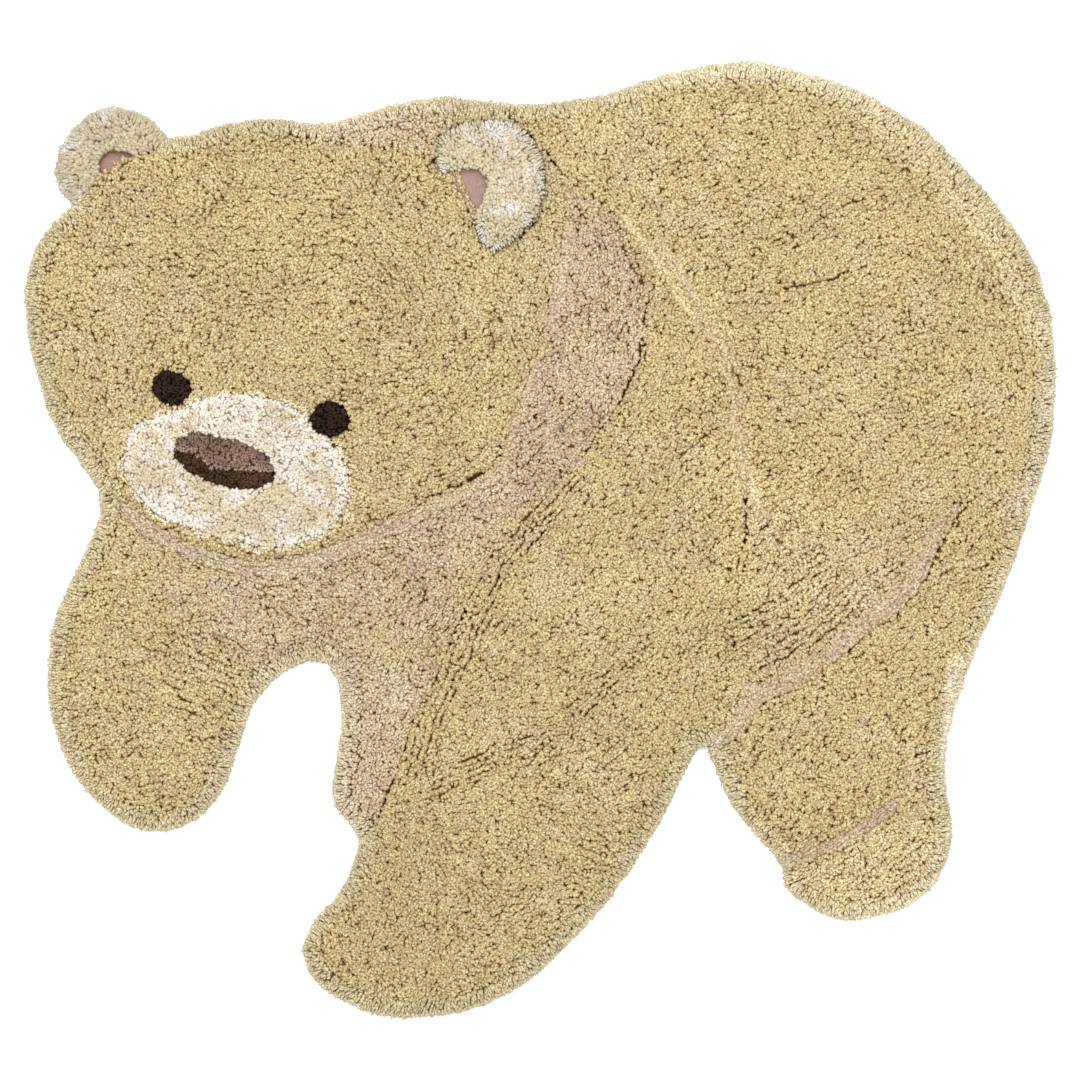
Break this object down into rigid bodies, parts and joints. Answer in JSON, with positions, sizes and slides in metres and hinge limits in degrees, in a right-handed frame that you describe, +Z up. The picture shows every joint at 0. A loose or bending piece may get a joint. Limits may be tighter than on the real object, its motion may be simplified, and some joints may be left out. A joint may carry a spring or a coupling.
{
  "type": "bear shaped kids rug",
  "caption": "Flat bear shaped shag rug for a child's room: canvas cloth with raised fields of pile, a sewn flap ear, dark eyes and nose.",
  "frame": {"origin": "on the floor, below the middle of the rug's box", "axes": "+X to the right as the rug is seen from above, +Y towards the bear's back, +Z up from the floor"},
  "size_m": [1.2018, 1.116, 0.0383],
  "materials": {
    "canvas_cloth": "plain woven canvas, dusty mauve",
    "gold_shag": "matt shag yarn, straw gold",
    "mauve_shag": "matt shag yarn, beige with a mauve cast",
    "cream_shag": "matt shag yarn, warm cream",
    "taupe_shag": "matt shag yarn, taupe brown",
    "brown_shag": "matt shag yarn, dark brown",
    "dark_shag": "matt shag yarn, very dark brown"
  },
  "bodies": {
    "root": {"backing_cloth": "canvas_cloth", "head_pile": "gold_shag", "neck_and_chest_pile": "mauve_shag", "back_pile": "gold_shag", "shoulder_and_foreleg_pile": "gold_shag", "belly_pile": "mauve_shag", "hind_leg_pile": "gold_shag", "left_foreleg_pile": "gold_shag", "far_foreleg_pile": "mauve_shag", "left_ear_pile": "cream_shag", "muzzle_pile": "cream_shag", "nose_top": "taupe_shag", "nose_front": "brown_shag", "left_eye": "dark_shag", "right_eye": "dark_shag", "flap_ear_cloth": "canvas_cloth", "flap_ear_pile": "cream_shag"}
  },
  "joints": []
}
